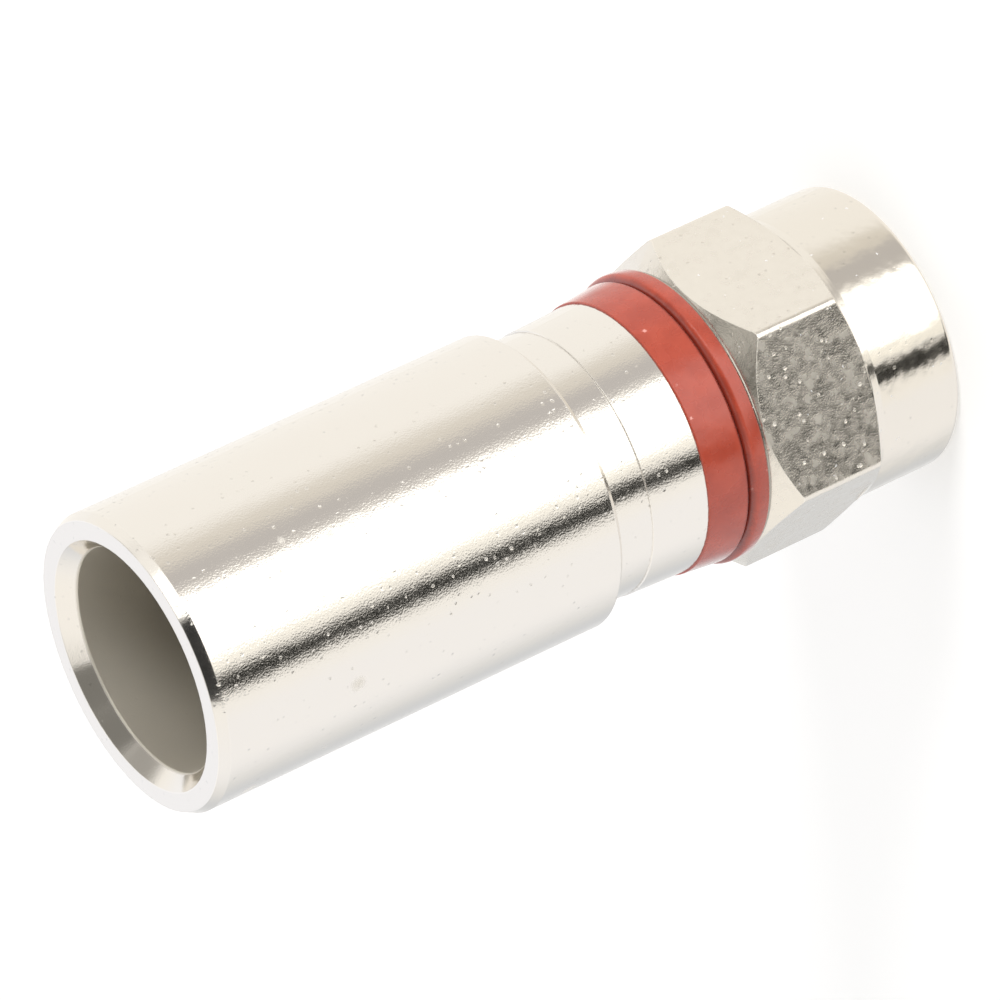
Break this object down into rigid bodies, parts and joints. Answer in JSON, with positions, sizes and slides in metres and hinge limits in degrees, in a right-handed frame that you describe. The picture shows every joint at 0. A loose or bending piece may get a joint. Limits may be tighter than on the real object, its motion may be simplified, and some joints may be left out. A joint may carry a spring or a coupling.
{
  "type": "compression f connector",
  "caption": "Nickel-plated compression F connector with hexagon coupling nut, red sealing band and sliding cable sleeve.",
  "frame": {"origin": "centre of the coupling nut's mouth, where the connector stands", "axes": "+Z along the connector towards the end that the cable enters; two corners of the hexagon lie on the X axis; -Y is square to one wrench flat"},
  "size_m": [0.0128, 0.0114, 0.0323],
  "materials": {
    "nut_nickel": "nickel plated brass, milled flats",
    "post_nickel": "nickel plated brass",
    "body_nickel": "nickel plated brass, turned",
    "sleeve_nickel": "nickel plated brass, turned, semi-bright",
    "red_plastic": "satin red plastic",
    "red_rubber": "satin red rubber",
    "black_rubber": "black rubber",
    "white_plastic": "natural acetal"
  },
  "bodies": {
    "connector": {"inner_post": "post_nickel", "connector_body": "body_nickel", "colour_band": "red_plastic", "nut_seal_ring": "red_rubber", "sleeve_seal_ring": "black_rubber"},
    "nut": {"coupling_nut": "nut_nickel"},
    "sleeve": {"compression_sleeve": "sleeve_nickel", "gripping_ring": "white_plastic"}
  },
  "joints": [
    {"name": "nut_spin", "type": "hinge", "parent": "connector", "child": "nut", "pos_m": [0, 0, 0.0079], "axis": [0, 0, 1], "continuous": true},
    {"name": "sleeve_slide", "type": "slide", "parent": "connector", "child": "sleeve", "axis": [0, 0, -1], "range_m": [0, 0.0036]}
  ]
}
